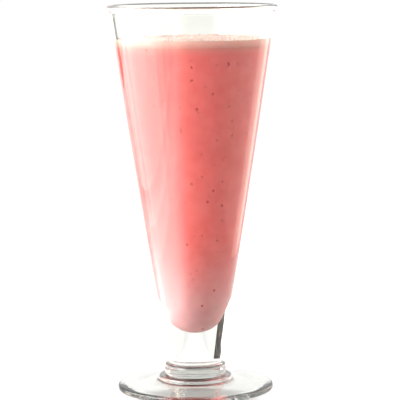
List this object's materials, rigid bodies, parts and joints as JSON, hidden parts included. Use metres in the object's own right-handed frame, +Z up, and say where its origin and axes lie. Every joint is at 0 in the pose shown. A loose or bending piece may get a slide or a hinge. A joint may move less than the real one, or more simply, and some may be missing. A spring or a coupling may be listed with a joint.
{
  "type": "strawberry milkshake in a footed glass",
  "caption": "Pink strawberry milkshake with a thin froth in a tall clear conical glass on a round disc foot.",
  "frame": {"origin": "centre of the foot's resting plane", "axes": "+Z up along the glass's axis; the part is turned round it, and -Y is the side that the picture shows"},
  "size_m": [0.0892, 0.0892, 0.203],
  "materials": {
    "clear_glass": "clear polished",
    "milkshake": "smooth opaque pink dairy drink",
    "froth": "pale bubbly froth"
  },
  "bodies": {
    "root": {"glass": "clear_glass", "milkshake": "milkshake", "froth": "froth"}
  },
  "joints": []
}
